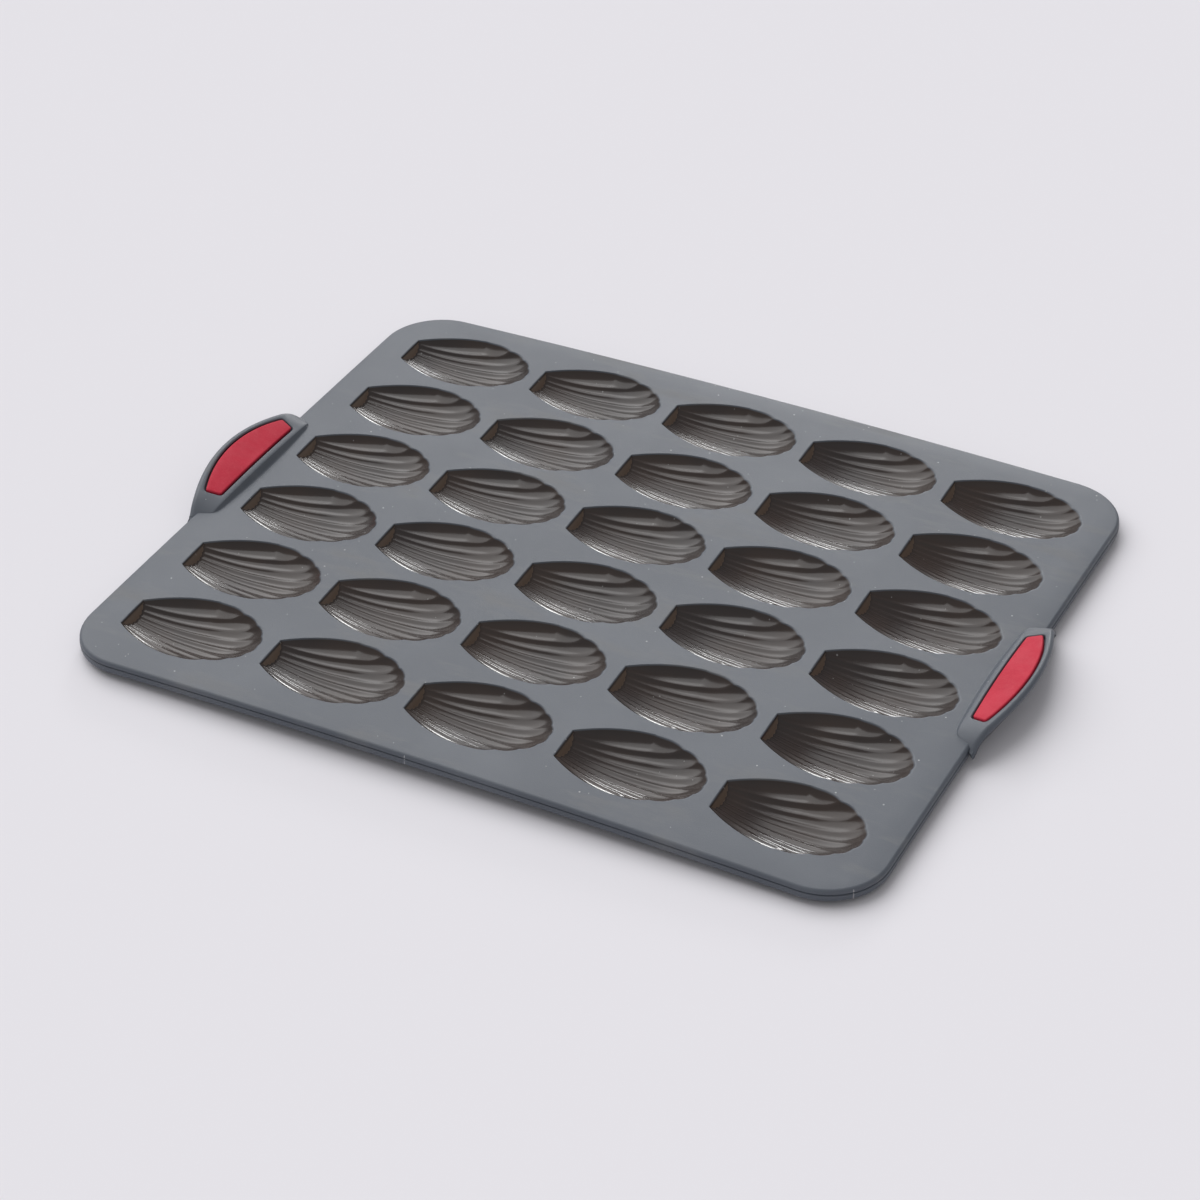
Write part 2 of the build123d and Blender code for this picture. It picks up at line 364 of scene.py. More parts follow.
class Skin:
    """Points and faces gathered from several patches, welded into one mesh at the end."""

    def __init__(self):
        self.points = []
        self.polish = []
        self.faces = []
        self.count = 0

    def add(self, points, faces, polish=0.0):
        points = np.array(points, float)
        self.points.append(points)
        self.polish.append(np.broadcast_to(polish, len(points)))
        self.faces += [tuple(k + self.count for k in face) for face in faces]
        self.count += len(points)

    def make(self, name, sharp_degrees):
        mesh = bpy.data.meshes.new(name)
        points = on_arch(np.concatenate(self.points))
        mesh.from_pydata(points.tolist(), [], self.faces)
        polish = mesh.attributes.new("polish", "FLOAT", "POINT")
        polish.data.foreach_set("value", np.concatenate(self.polish).astype(np.float32))
        work = bmesh.new()
        work.from_mesh(mesh)
        bmesh.ops.remove_doubles(work, verts=work.verts, dist=weld_distance)
        bmesh.ops.dissolve_degenerate(work, edges=work.edges, dist=weld_distance / 2)
        loose = [v for v in work.verts if not v.link_faces]
        bmesh.ops.delete(work, geom=loose, context="VERTS")
        for face in work.faces:
            face.smooth = True
        for edge in work.edges:
            if len(edge.link_faces) == 2:
                edge.smooth = edge.calc_face_angle(0) < radians(sharp_degrees)
        work.to_mesh(mesh)
        work.free()
        piece = bpy.data.objects.new(name, mesh)
        bpy.context.scene.collection.objects.link(piece)
        return piece


def block_edge(cells_x, cells_y):
    """Plan points round a block of cells, anticlockwise from its left front corner."""
    x, y = cells_x * column_pitch / 2, cells_y * row_pitch / 2
    steps_x, steps_y = cells_x * cell_steps_x, cells_y * cell_steps_y
    edge = [(-x + column_pitch * k / cell_steps_x, -y) for k in range(steps_x)]
    edge += [(x, -y + row_pitch * k / cell_steps_y) for k in range(steps_y)]
    edge += [(x - column_pitch * k / cell_steps_x, y) for k in range(steps_x)]
    edge += [(-x, y - row_pitch * k / cell_steps_y) for k in range(steps_y)]
    return edge


mould = Skin()
cell_edge = block_edge(1, 1)

# Lanes of an inner and of the outer flute, then rows along the straight part, round the closed end
# and down the end wall: first for the cavity, then for the cup under it
cavity_mesh = (8, 18, 32, 20, 6)
cup_mesh = (4, 9, 10, 12, 3)
cell_patches = []
for grow, drop, level, blend, size, up in (
    (0.0, 0.0, 0.0, lip_blend, cavity_mesh, True),
    (cup_grow, cup_wall, -deck_thickness, cup_lip_blend, cup_mesh, False),
):
    grid = shell_skin(grow, drop, level, blend, *size)
    grid = round_the_crests(grid)
    grid[:, :, 2] = soft_floor(grid[:, :, 2], level, blend)
    grid[:, :, 2] = np.maximum(grid[:, :, 2], -deck_top)
    ahead, aside = grid[:, :, 0].copy(), grid[:, :, 1].copy()
    grid[:, :, 0] = mouth_x + ahead * cos(shell_turn) - aside * sin(shell_turn)
    grid[:, :, 1] = shell_aside + ahead * sin(shell_turn) + aside * cos(shell_turn)
    faces, edge = grid_faces(grid, up)
    flat = grid.reshape(-1, 3)
    polish = np.clip(-grid[:, :, 2] / polish_depth, 0, 1) * (1 if up else 0)
    # The end wall's rows are marked for the painted glow of light shining through the thin wall
    polish[:, : size[-1] + 1] *= end_wall_glow_mark
    cell_patches.append((flat, faces, polish.reshape(-1)))
    loop = [tuple(flat[k][:2]) for k in edge]
    thin = [loop[0]]
    for point in loop[1:]:
        if hypot(point[0] - thin[-1][0], point[1] - thin[-1][1]) > least_step:
            thin.append(point)
    extra = []
    for i in range(1, spare_steps_x):
        for j in range(1, spare_steps_y):
            x = -column_pitch / 2 + column_pitch * i / spare_steps_x
            y = -row_pitch / 2 + row_pitch * j / spare_steps_y
            near = min(hypot(x - p[0], y - p[1]) for p in thin)
            if near > spare_clearance and not inside((x, y), thin):
                extra.append((x, y))
    points, faces = fill_flat(
        [cell_edge, thin],
        extra,
        lambda p: not inside(p, thin) and abs(p.x) < column_pitch / 2 and abs(p.y) < row_pitch / 2,
    )
    faces = [face if up else face[::-1] for face in faces]
    cell_patches.append(([(x, y, level) for x, y in points], faces, 0.0))

for column in range(columns):
    for row in range(rows):
        x = (column - (columns - 1) / 2) * column_pitch
        y = (row - (rows - 1) / 2) * row_pitch
        for points, faces, polish in cell_patches:
            mould.add(np.asarray(points) + np.array([x, y, deck_top]), faces, polish)


def rounded_loop(inset, corner_steps, side_steps):
    """Plan points round the deck's outline, drawn in by an inset."""
    x, y = half_length - inset, half_width - inset
    radius = deck_corner_radius - inset
    points = []
    centres = [(x - radius, y - radius), (-x + radius, y - radius)]
    centres += [(-x + radius, -y + radius), (x - radius, -y + radius)]
    for quarter, (cx, cy) in enumerate(centres):
        for k in range(corner_steps + 1):
            angle = quarter * pi / 2 + k * pi / 2 / corner_steps
            points.append((cx + radius * cos(angle), cy + radius * sin(angle)))
        nx, ny = centres[(quarter + 1) % 4]
        angle = (quarter + 1) * pi / 2
        start_x, start_y = cx + radius * cos(angle), cy + radius * sin(angle)
        end_x, end_y = nx + radius * cos(angle), ny + radius * sin(angle)
        for k in range(1, side_steps):
            share = k / side_steps
            points.append((start_x + (end_x - start_x) * share, start_y + (end_y - start_y) * share))
    return points


def strip_faces(ring_count, size):
    """Quads between rings of points that follow one another, each ring closed on itself."""
    faces = []
    for r in range(ring_count - 1):
        for k in range(size):
            n = (k + 1) % size
            a, b = r * size + k, r * size + n
            faces.append((a, a + size, b + size, b))
    return faces


# Points of the rim's section, as distance in from the deck's edge and height from its top: the
# rounded edge, the groove of the tool's seam, the rounded foot and the fillet under the deck
rim_set_back = 0.00012
foot_set_back = 0.0001
foot_radius = 0.0005
under_fillet = 0.0009
rim_section = []
for k in range(7):
    angle = pi / 2 * (1 - k / 6)
    inset = rim_set_back + rim_edge_radius * (1 - cos(angle))
    rim_section.append((inset, -rim_edge_radius * (1 - sin(angle))))
rim_section += [(rim_set_back, -0.0017), (0.0005, -0.00195), (0.0006, -0.0021), (0.0005, -0.0022)]
rim_section += [(rim_set_back, -0.00228), (0, -0.0024), (0, -0.0027), (foot_set_back, -0.0034)]
for k in range(4):
    angle = pi / 2 * k / 3
    inset = foot_set_back + foot_radius * (1 - cos(angle))
    rim_section.append((inset, -rim_height + foot_radius * (1 - sin(angle))))
for k in range(4):
    angle = pi / 2 * k / 3
    inset = rim_width - foot_radius * (1 - sin(angle))
    rim_section.append((inset, -rim_height + foot_radius * (1 - cos(angle))))
for k in range(5):
    angle = pi / 2 * k / 4
    inset = rim_width + under_fillet * (1 - cos(angle))
    rim_section.append((inset, -deck_thickness - under_fillet * (1 - sin(angle))))
corner_steps, side_steps = 14, 12
rings = []
for inset, height in rim_section:
    rings.append([(x, y, deck_top + height) for x, y in rounded_loop(inset, corner_steps, side_steps)])
mould.add([p for ring in rings for p in ring], strip_faces(len(rings), len(rings[0])))

field_edge = block_edge(columns, rows)
borders = ((rim_section[0][0], 0.0, True), (rim_section[-1][0], -deck_thickness, False))
for inset, level, up in borders:
    outer = rounded_loop(inset, corner_steps, side_steps)
    points, faces = fill_flat(
        [outer, field_edge],
        [],
        lambda p: inside(p, outer) and not (abs(p.x) < field_x and abs(p.y) < field_y),
    )
    faces = [face if up else face[::-1] for face in faces]
    mould.add([(x, y, deck_top + level) for x, y in points], faces)

# Silicone mould, its handles: the wing at each end belongs to the same pressing of grey silicone.
# It leans up and outward and arches along the edge, its ends ramp down to the deck, and its top has
# a pocket into which the grip pad is pressed.
handle_span = 0.083
handle_bow_span = 0.078
handle_foot_blend = 0.0014
handle_tuck = 0.0010
handle_tuck_start = 0.0355
handle_reach = 0.0100
handle_inboard = 0.0076
handle_slant = 0.0063
handle_tilt = radians(18.3)
handle_rise = 0.0050
handle_thickness = 0.0056
handle_arch_radius = 0.400
handle_ramp_start = 0.031
handle_ramp_length = 0.008
handle_ramp_drop = 0.0034
handle_ramp_end = 1.15
handle_corner_radius = 0.0012
handle_skirt_width = 0.006
handle_foot_dip = 0.0004
handle_root_reach = 0.6
handle_root_inset = 0.0008
handle_root_span = 0.9
handle_spare_clearance = 0.0011
pocket_lip = 0.0005
pad_inner_span = 0.0528
pad_outer_span = 0.0566
pad_inboard = 0.00485
pad_shoulder = 0.0008
pad_crown = 0.0063
pad_corner_radius = 0.0013
pad_edge_radius = 0.0006
pad_thickness = 0.0022
pad_proud = 0.0002
pad_gap = 0.0007
wing_half = handle_span / 2


def arch_drop(across):
    return handle_arch_radius - sqrt(handle_arch_radius**2 - across**2)


def wing_top(across):
    """Height of the wing's top in its own plane, arched in the middle and ramped at its ends."""
    run = (abs(across) - handle_ramp_start) / handle_ramp_length
    run = min(handle_ramp_end, max(0.0, run))
    return -arch_drop(across) - handle_ramp_drop * run * run


def arc_through(start, middle, end, steps):
    """Points on the circle through three plan points, without the last."""
    (ax, ay), (bx, by), (cx, cy) = start, middle, end
    d = 2 * (ax * (by - cy) + bx * (cy - ay) + cx * (ay - by))
    a, b, c = ax**2 + ay**2, bx**2 + by**2, cx**2 + cy**2
    ux = (a * (by - cy) + b * (cy - ay) + c * (ay - by)) / d
    uy = (a * (cx - bx) + b * (ax - cx) + c * (bx - ax)) / d
    radius = hypot(ax - ux, ay - uy)
    first, last = atan2(ay - uy, ax - ux), atan2(cy - uy, cx - ux)
    angles = [first + (last - first) * k / steps for k in range(steps)]
    return [(ux + radius * cos(angle), uy + radius * sin(angle)) for angle in angles]


def line_points(start, end, steps):
    """Points along a straight line, without the last."""
    return [
        (start[0] + (end[0] - start[0]) * k / steps, start[1] + (end[1] - start[1]) * k / steps)
        for k in range(steps)
    ]


def round_corners(loop, radius, steps, turn_limit=0.35):
    """A closed loop with each sharp corner swapped for an arc."""
    out = []
    count = len(loop)
    for k in range(count):
        before, here, after = Vector(loop[k - 1]), Vector(loop[k]), Vector(loop[(k + 1) % count])
        a, b = (before - here).normalized(), (after - here).normalized()
        turn = pi - acos(max(-1, min(1, a.dot(b))))
        if turn < turn_limit:
            out.append(tuple(here))
            continue
        room = 0.49 * min((before - here).length, (after - here).length)
        reach = min(radius * tan(turn / 2), room)
        start, end = here + a * reach, here + b * reach
        for j in range(steps + 1):
            share = j / steps
            bend = start * (1 - share) ** 2 + here * 2 * share * (1 - share) + end * share**2
            out.append(tuple(bend))
    return out


def inset_loop(loop, inset):
    """A closed loop that runs anticlockwise, drawn in by an inset."""
    out = []
    count = len(loop)
    for k in range(count):
        before, here, after = Vector(loop[k - 1]), Vector(loop[k]), Vector(loop[(k + 1) % count])
        a, b = (here - before).normalized(), (after - here).normalized()
        na, nb = Vector((-a.y, a.x)), Vector((-b.y, b.x))
        out.append(tuple(here + (na + nb) / max(0.3, 1 + na.dot(nb)) * inset))
    return out


def pad_loop(grow):
    """The grip pad's outline in the wing's plane, grown by a gap."""
    outer, inner = pad_outer_span / 2, pad_inner_span / 2
    loop = arc_through((pad_shoulder, -outer), (pad_shoulder + pad_crown, 0), (pad_shoulder, outer), 28)
    loop += [(pad_shoulder, outer)]
    loop += line_points((-pad_inboard, inner), (-pad_inboard, -inner), 24)
    loop += [(-pad_inboard, -inner)]
    loop = round_corners(loop, pad_corner_radius, 6)
    return inset_loop(loop, -grow) if grow else loop


def to_world(point, side):
    """From the wing's own plane at one end of the pan to the part's frame."""
    a, b, c = point
    x = half_length + a * cos(handle_tilt) - c * sin(handle_tilt)
    z = deck_top + handle_rise + a * sin(handle_tilt) + c * cos(handle_tilt)
    return (side * x, side * b, z)


inner_end = wing_half - handle_slant
outline_steps = 52
wing_outline = []
for k in range(outline_steps + 1):
    b = -wing_half + handle_span * k / outline_steps
    bow = handle_reach * (1 - (2 * b / handle_bow_span) ** 2)
    tuck = min(1.0, max(0.0, (abs(b) - handle_tuck_start) / (wing_half - handle_tuck_start)))
    tuck = handle_tuck * tuck * tuck * (3 - 2 * tuck)
    wing_outline.append(((bow + hypot(bow, handle_foot_blend)) / 2 - tuck, b))
foot = wing_outline.pop()[0]
wing_outline += line_points((foot, wing_half), (-handle_inboard, inner_end), 8)
wing_outline += line_points((-handle_inboard, inner_end), (-handle_inboard, -inner_end), 40)
wing_outline += line_points((-handle_inboard, -inner_end), (foot, -wing_half), 8)
wing_outline = round_corners(wing_outline, handle_corner_radius, 4)

# Rounding of the wing's edge: inset and drop in millimetres on the outer side, then on the inner side
# the inset in millimetres, and the foot's spread and the height left as shares of the step
wing_profile = [
    (1.50, 0.00, 0.50, 0.00, 1.00),
    (1.11, 0.05, 0.35, 0.00, 1.00),
    (0.75, 0.19, 0.15, 0.005, 0.995),
    (0.44, 0.42, 0.00, 0.03, 0.975),
    (0.20, 0.72, 0.00, 0.10, 0.92),
    (0.05, 1.07, 0.00, 0.30, 0.73),
    (0.00, 1.40, 0.00, 0.50, 0.53),
    (0.00, 1.65, 0.00, 0.70, 0.33),
    (0.08, 1.95, 0.00, 0.85, 0.18),
    (0.26, 2.22, 0.00, 0.98, 0.075),
    (0.52, 2.42, 0.00, 1.12, 0.015),
    (0.85, 2.50, 0.00, 1.30, -0.03),
]
wing_rings = []
for outer_inset, outer_drop, inner_inset, spread, share in wing_profile:
    ring = []
    outer_loop = inset_loop(wing_outline, outer_inset / 1000)
    for base, outer in zip(wing_outline, outer_loop):
        out = min(1.0, max(0.0, 1 + base[0] / handle_skirt_width))
        out = out * out * (3 - 2 * out)
        crease = handle_rise + base[0] * sin(handle_tilt) + wing_top(base[1]) * cos(handle_tilt)
        a = base[0] + inner_inset / 1000 - spread * max(crease, 0)
        a, b = a + (outer[0] - a) * out, base[1] + (outer[1] - base[1]) * out
        top = handle_rise + a * sin(handle_tilt) + wing_top(b) * cos(handle_tilt)
        height = crease * share if crease > 0 else crease - handle_foot_dip * (1 - share)
        if share == 1:
            height = top
        inner_c = (height - handle_rise - a * sin(handle_tilt)) / cos(handle_tilt)
        outer_c = wing_top(b) - outer_drop / 1000
        ring.append((a, b, inner_c + (outer_c - inner_c) * out))
    wing_rings.append(ring)
root = []
for a, b in wing_outline:
    root.append((a * handle_root_reach - handle_root_inset, b * handle_root_span))
wing_rings.append([(a, b, wing_top(b) - handle_thickness) for a, b in root])


def pad_floor(across):
    """Height of the pocket's floor, which is the underside of the pad."""
    return pad_proud - pad_thickness - arch_drop(across)


pocket = pad_loop(pad_gap)
pocket_rings = []
for k in range(4):
    angle = pi / 2 * k / 3
    loop = inset_loop(pocket, -pocket_lip * (1 - sin(angle)))
    pocket_rings.append([(a, b, wing_top(b) - pocket_lip * (1 - cos(angle))) for a, b in loop])
pocket_rings.append([(a, b, pad_floor(b)) for a, b in pocket])

top_loop = [p[:2] for p in wing_rings[0]]
lip_loop = [p[:2] for p in pocket_rings[0]]
extra = []
for i in range(7):
    for j in range(25):
        a = -handle_inboard + (handle_reach + handle_inboard) * (i + 0.5) / 7
        b = -wing_half + handle_span * (j + 0.5) / 25
        clear = min(hypot(a - p[0], b - p[1]) for p in top_loop + lip_loop)
        beside = inside((a, b), top_loop) and not inside((a, b), lip_loop)
        if clear > handle_spare_clearance and beside:
            extra.append((a, b))
top_points, top_faces = fill_flat(
    [top_loop, lip_loop], extra, lambda p: inside(p, top_loop) and not inside(p, lip_loop)
)
floor_points, floor_faces = fill_flat([pocket], [], lambda p: inside(p, pocket))
under_loop = [p[:2] for p in wing_rings[-1]]
under_points, under_faces = fill_flat([under_loop], [], lambda p: inside(p, under_loop))
for side in (1, -1):
    mould.add(
        [to_world(p, side) for ring in wing_rings for p in ring],
        strip_faces(len(wing_rings), len(wing_outline)),
    )
    mould.add(
        [to_world(p, side) for ring in pocket_rings for p in ring],
        [face[::-1] for face in strip_faces(len(pocket_rings), len(pocket))],
    )
    mould.add([to_world((a, b, wing_top(b)), side) for a, b in top_points], top_faces)
    mould.add([to_world((a, b, pad_floor(b)), side) for a, b in floor_points], floor_faces)
    mould.add(
        [to_world((a, b, wing_top(b) - handle_thickness), side) for a, b in under_points],
        [face[::-1] for face in under_faces],
    )

mould_piece = mould.make("mould", mould_sharp_degrees)
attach(mould_piece, "root")
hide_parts("mould_body")

# Silicone mould, its rubber: matt grey with paler smears on the deck, rim and handles, darker and polished
# in the cavities, where the tool is smooth. The cavities' brown tint is a painted glow of light shining
# through the thin walls, and the paler brown on their end walls is that painted glow where it is
# strongest. Light specks of dust lie all over. The mark is 0 on the deck, 1 in a cavity and 2 on its end
# wall, where it paints the glow.
deck_greys = ((0.082, 0.093, 0.114), (0.102, 0.114, 0.136))
smear_grey = (0.150, 0.153, 0.160)
# The dark polished rubber of the cavities, with a brown tint painted for light shining through the thin
# walls
cup_browns = ((0.036, 0.024, 0.020), (0.026, 0.019, 0.018))
# Paler brown painted on the end walls as the glow of light shining through the thin wall
end_wall_glow_brown = (0.135, 0.094, 0.070)
dust_grey = (0.5, 0.5, 0.5)
smear_turn = 0.6
smear_stretch = (1.0, 3.2, 1.0)
relief_depth = 0.00002


def place_in(tree):
    """Where a texture sits: metres in the part's own frame."""
    if "place" not in tree.nodes:
        place = tree.nodes.new("ShaderNodeTexCoord")
        place.name = "place"
    return tree.nodes["place"].outputs["Object"]


def clouds(tree, scale, detail, low, high, stretch=None):
    """Uneven patches through the rubber, from 0 to 1."""
    noise = tree.nodes.new("ShaderNodeTexNoise")
    noise.inputs["Scale"].default_value = scale
    noise.inputs["Detail"].default_value = detail
    noise.inputs["Roughness"].default_value = 0.6
    place = place_in(tree)
    if stretch:
        turn = tree.nodes.new("ShaderNodeMapping")
        turn.inputs["Rotation"].default_value = (0, 0, stretch[0])
        turn.inputs["Scale"].default_value = stretch[1]
        tree.links.new(place, turn.inputs["Vector"])
        place = turn.outputs["Vector"]
    tree.links.new(place, noise.inputs["Vector"])
    return ramp(tree, noise.outputs["Fac"], low, high, 0.0, 1.0)


def ramp(tree, value, low, high, start, end):
    """A number carried from one range to another, kept inside it."""
    node = tree.nodes.new("ShaderNodeMapRange")
    node.interpolation_type = "SMOOTHSTEP"
    for name, number in (("From Min", low), ("From Max", high), ("To Min", start), ("To Max", end)):
        node.inputs[name].default_value = number
    tree.links.new(value, node.inputs["Value"])
    return node.outputs["Result"]


def tint(tree, share, first, second):
    """First colour turning into the second as the share goes from 0 to 1."""
    node = tree.nodes.new("ShaderNodeMix")
    node.data_type = "RGBA"
    for value, socket in ((share, node.inputs[0]), (first, node.inputs[6]), (second, node.inputs[7])):
        if isinstance(value, (float, int)):
            socket.default_value = value
        elif isinstance(value, tuple):
            socket.default_value = (*value, 1)
        else:
            tree.links.new(value, socket)
    return node.outputs[2]


def reckon(tree, kind, first, second):
    """One sum on two numbers or sockets."""
    node = tree.nodes.new("ShaderNodeMath")
    node.operation = kind
    for value, socket in ((first, node.inputs[0]), (second, node.inputs[1])):
        if isinstance(value, (float, int)):
            socket.default_value = value
        else:
            tree.links.new(value, socket)
    return node.outputs[0]


def dust(tree, scale, radius, chosen):
    """Sparse round specks: 1 on a speck, 0 beside it."""
    cells = tree.nodes.new("ShaderNodeTexVoronoi")
    cells.voronoi_dimensions = "2D"
    cells.inputs["Scale"].default_value = scale
    cells.inputs["Randomness"].default_value = 1.0
    tree.links.new(place_in(tree), cells.inputs["Vector"])
    speck = ramp(tree, cells.outputs["Distance"], radius * scale * 0.6, radius * scale, 1.0, 0.0)
    split = tree.nodes.new("ShaderNodeSeparateColor")
    tree.links.new(cells.outputs["Color"], split.inputs["Color"])
    kept = ramp(tree, split.outputs[0], chosen, chosen + 0.02, 1.0, 0.0)
    return reckon(tree, "MULTIPLY", speck, kept)


def grain(tree, shader, height, depth):
    """Fine relief on the shader's normal, with the depth in metres."""
    bump = tree.nodes.new("ShaderNodeBump")
    bump.inputs["Distance"].default_value = depth
    tree.links.new(height, bump.inputs["Height"])
    tree.links.new(bump.outputs["Normal"], shader.inputs["Normal"])


silicone = bpy.data.materials.new("grey silicone")
silicone.use_nodes = True
tree = silicone.node_tree
shader = tree.nodes["Principled BSDF"]
mark = tree.nodes.new("ShaderNodeAttribute")
mark.attribute_name = "polish"
polished = ramp(tree, mark.outputs["Fac"], 0.1, 0.7, 0.0, 1.0)
glossed = ramp(tree, mark.outputs["Fac"], 0.0, 0.25, 0.0, 1.0)
end_wall = ramp(tree, mark.outputs["Fac"], 1.0, 2.0, 0.0, 1.0)
matt = reckon(tree, "SUBTRACT", 1.0, glossed)
deck_colour = tint(tree, clouds(tree, 14, 3, 0.35, 0.7), *deck_greys)
smears = clouds(tree, 22, 5, 0.52, 0.74, (smear_turn, smear_stretch))
deck_colour = tint(tree, reckon(tree, "MULTIPLY", smears, 0.75), deck_colour, smear_grey)
# Cavity colour: dark polished rubber, tinted brown as a painted glow of light through the thin walls
cup_colour = tint(tree, clouds(tree, 30, 2, 0.35, 0.7), *cup_browns)
# Paints the glow of light through the thin end walls as a paler brown
cup_colour = tint(tree, end_wall, cup_colour, end_wall_glow_brown)
colour = tint(tree, polished, deck_colour, cup_colour)
specks = reckon(tree, "MAXIMUM", dust(tree, 62, 0.00040, 0.15), dust(tree, 150, 0.00024, 0.12))
specks = reckon(tree, "MULTIPLY", specks, ramp(tree, polished, 0.0, 1.0, 0.65, 0.3))
colour = tint(tree, specks, colour, dust_grey)
tree.links.new(colour, shader.inputs["Base Color"])
deck_rough = ramp(tree, smears, 0.0, 1.0, 0.44, 0.56)
cup_rough = clouds(tree, 40, 3, 0.3, 0.7)
cup_rough = ramp(tree, cup_rough, 0.0, 1.0, 0.17, 0.23)
deck_rough = reckon(tree, "MULTIPLY", deck_rough, matt)
cup_rough = reckon(tree, "MULTIPLY", cup_rough, glossed)
tree.links.new(reckon(tree, "ADD", deck_rough, cup_rough), shader.inputs["Roughness"])
shader.inputs["Specular IOR Level"].default_value = 0.4
fine = clouds(tree, 2600, 2, 0.3, 0.7)
fine = reckon(tree, "MULTIPLY", fine, ramp(tree, polished, 0.0, 1.0, 1.0, 0.02))
grain(tree, shader, fine, relief_depth)
mould_piece.data.materials.append(silicone)

# Steel ring: one closed wire bent round the four corners and moulded into the rim, so that the soft
# sheet hangs straight when it is lifted. It follows the arch of the deck.
wire_radius = 0.0012
wire_inset = 0.0032
wire_drop = 0.0029
wire_sides = 12
wire_sharp_degrees = 60
steel_greys = ((0.50, 0.50, 0.51), (0.64, 0.64, 0.63))
draw_mark_depth = 0.00001
wire = Skin()
wire_loops = []
for k in range(wire_sides):
    angle = 2 * pi * k / wire_sides
    height = deck_top - wire_drop + wire_radius * sin(angle)
    loop = rounded_loop(wire_inset + wire_radius * cos(angle), corner_steps, side_steps)
    wire_loops.append([(x, y, height) for x, y in loop])
around = len(wire_loops[0])
wire_faces = []
for r in range(wire_sides):
    for k in range(around):
        n, s = (k + 1) % around, (r + 1) % wire_sides
        wire_faces.append((r * around + k, r * around + n, s * around + n, s * around + k))
wire.add([p for loop in wire_loops for p in loop], wire_faces)
wire_piece = wire.make("steel_ring", wire_sharp_degrees)
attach(wire_piece, "root")
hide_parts("rim_frame")
steel = bpy.data.materials.new("drawn steel")
steel.use_nodes = True
tree = steel.node_tree
shader = tree.nodes["Principled BSDF"]
shader.inputs["Metallic"].default_value = 1.0
draw_marks = clouds(tree, 900, 3, 0.3, 0.7)
tree.links.new(tint(tree, draw_marks, *steel_greys), shader.inputs["Base Color"])
tree.links.new(ramp(tree, draw_marks, 0.0, 1.0, 0.28, 0.42), shader.inputs["Roughness"])
grain(tree, shader, draw_marks, draw_mark_depth)
wire_piece.data.materials.append(steel)

# Grip pads: red silicone, each moulded apart and pressed into the pocket of its handle. The top
# follows the wing's arch and stands a little proud of it, with a thin gap all round.
pad_edge_steps = 5
pad_spare_clearance = 0.0009
pad_sharp_degrees = 50
pad_reds = ((0.50, 0.018, 0.044), (0.55, 0.027, 0.056))
speckle_red = (0.62, 0.07, 0.10)
pad_relief_depth = 0.000015
pad_pieces = []
for node, side in (("right_grip_pad", 1), ("left_grip_pad", -1)):
    pad = Skin()
    outline = pad_loop(0)
    pad_rings = []
    for k in range(pad_edge_steps + 1):
        angle = pi / 2 * k / pad_edge_steps
        loop = inset_loop(outline, pad_edge_radius * (1 - sin(angle)))
        drop = pad_edge_radius * (1 - cos(angle))
        pad_rings.append([(a, b, pad_proud - arch_drop(b) - drop) for a, b in loop])
    pad_rings.append([(a, b, pad_floor(b)) for a, b in outline])
    pad_faces = strip_faces(len(pad_rings), len(outline))
    pad.add([to_world(p, side) for ring in pad_rings for p in ring], pad_faces)
    crown_loop = [p[:2] for p in pad_rings[0]]
    extra = []
    for i in range(5):
        for j in range(24):
            a = -pad_inboard + (pad_shoulder + pad_crown + pad_inboard) * (i + 0.5) / 5
            b = -pad_outer_span / 2 + pad_outer_span * (j + 0.5) / 24
            clear = min(hypot(a - p[0], b - p[1]) for p in crown_loop)
            if clear > pad_spare_clearance and inside((a, b), crown_loop):
                extra.append((a, b))
    points, faces = fill_flat([crown_loop], extra, lambda p: inside(p, crown_loop))
    pad.add([to_world((a, b, pad_proud - arch_drop(b)), side) for a, b in points], faces)
    points, faces = fill_flat([outline], [], lambda p: inside(p, outline))
    faces = [face[::-1] for face in faces]
    pad.add([to_world((a, b, pad_floor(b)), side) for a, b in points], faces)
    pad_piece = pad.make(node.replace("_grip", ""), pad_sharp_degrees)
    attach(pad_piece, "root")
    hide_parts(node)
    pad_pieces.append(pad_piece)

red = bpy.data.materials.new("red silicone")
red.use_nodes = True
tree = red.node_tree
shader = tree.nodes["Principled BSDF"]
red_colour = tint(tree, clouds(tree, 60, 3, 0.35, 0.7), *pad_reds)
speckled = reckon(tree, "MULTIPLY", clouds(tree, 1500, 2, 0.45, 0.75), 0.25)
red_colour = tint(tree, speckled, red_colour, speckle_red)
tree.links.new(red_colour, shader.inputs["Base Color"])
shader.inputs["Specular IOR Level"].default_value = 0.25
red_rough = ramp(tree, clouds(tree, 200, 3, 0.3, 0.7), 0.0, 1.0, 0.62, 0.72)
tree.links.new(red_rough, shader.inputs["Roughness"])
grain(tree, shader, clouds(tree, 3000, 2, 0.3, 0.7), pad_relief_depth)
for pad_piece in pad_pieces:
    pad_piece.data.materials.append(red)

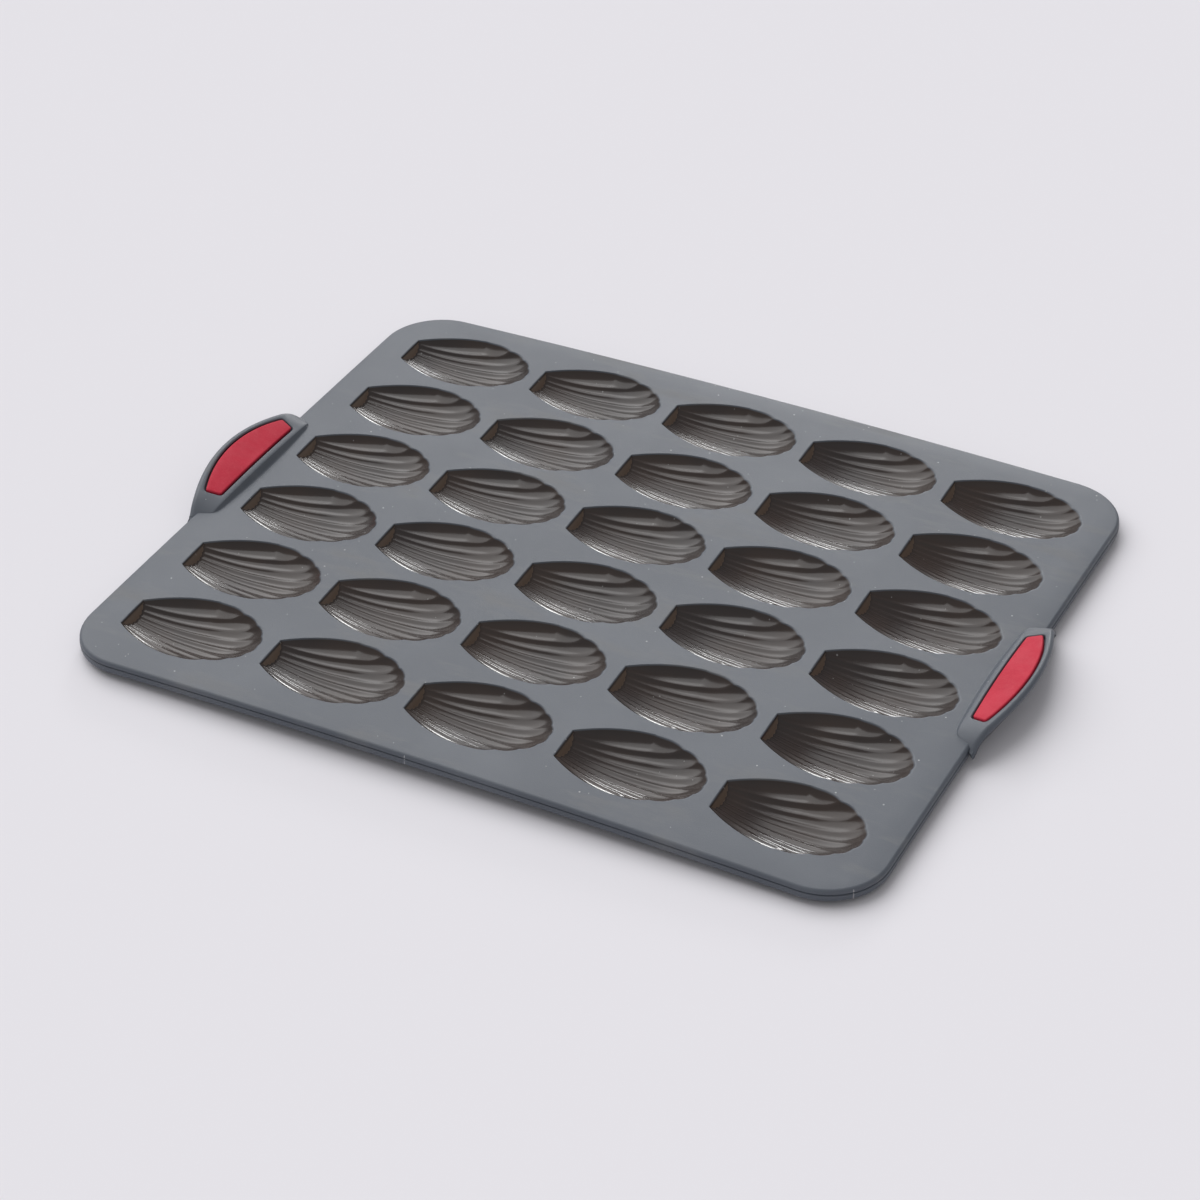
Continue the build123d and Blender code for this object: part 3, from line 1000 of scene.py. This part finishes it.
# Floor: a wide sheet of plain pale paper, matt, laid flat under the pan. It is the stage and no
# piece of the object, and the cups stand on it.
floor_reach = 6
paper_colour = (0.775, 0.76, 0.80, 1)
corners = [(-1, -1), (1, -1), (1, 1), (-1, 1)]
floor_mesh = bpy.data.meshes.new("floor")
floor_points = [(x * floor_reach, y * floor_reach, 0) for x, y in corners]
floor_mesh.from_pydata(floor_points, [], [(0, 1, 2, 3)])
floor = bpy.data.objects.new("floor", floor_mesh)
bpy.context.scene.collection.objects.link(floor)
paper = bpy.data.materials.new("floor paper")
paper.use_nodes = True
shader = paper.node_tree.nodes["Principled BSDF"]
shader.inputs["Base Color"].default_value = paper_colour
shader.inputs["Roughness"].default_value = 1.0
shader.inputs["Specular IOR Level"].default_value = 0.0
floor_mesh.materials.append(paper)

# Light: a white studio that is brighter in front, a broad window to the left and behind, a smaller
# one behind, which the matt deck mirrors, and a low strip that draws the streaks in the cavities.
# Each lamp has its strength, its width, and the azimuth and elevation that it shines from.
brighter_side = (0.15, -0.95, 0.25)
lamps = (
    ("window", 1.95, 66, 158, 50),
    ("back_window", 0.45, 40, 122, 36),
    ("low_strip", 0.45, 11, 108, 15),
)
world = bpy.data.worlds.new("studio")
bpy.context.scene.world = world
world.use_nodes = True
tree = world.node_tree
facing = tree.nodes.new("ShaderNodeTexCoord")
towards = tree.nodes.new("ShaderNodeVectorMath")
towards.operation = "DOT_PRODUCT"
towards.inputs[1].default_value = brighter_side
tree.links.new(facing.outputs["Generated"], towards.inputs[0])
dim = ramp(tree, towards.outputs["Value"], -0.3, 0.8, 0.31, 0.52)
tree.links.new(dim, tree.nodes["Background"].inputs["Strength"])
tree.nodes["Background"].inputs["Color"].default_value = (1, 1, 1, 1)

for name, strength, spread, azimuth, elevation in lamps:
    lamp_data = bpy.data.lights.new(name, "SUN")
    lamp_data.energy = strength
    lamp_data.angle = radians(spread)
    lamp = bpy.data.objects.new(name, lamp_data)
    bpy.context.scene.collection.objects.link(lamp)
    turn, lift = radians(azimuth), radians(elevation)
    lamp_from = Vector((cos(lift) * cos(turn), cos(lift) * sin(turn), sin(lift)))
    lamp.rotation_euler = lamp_from.to_track_quat("Z", "Y").to_euler()

# Camera: a long lens at the height and angle of the photo's, found by fitting it to the grid of
# cavities and to the arch of the deck.
camera_data = bpy.data.cameras.new("camera")
camera = bpy.data.objects.new("camera", camera_data)
bpy.context.scene.collection.objects.link(camera)
camera_data.lens = 100.0455
camera_data.sensor_width = 36.0
camera.location = (0.463723, -0.912513, 0.732807)
camera.rotation_euler = (radians(54.15510), radians(0.24281), radians(27.00601))
bpy.context.scene.camera = camera
bpy.context.scene.view_settings.view_transform = "Standard"
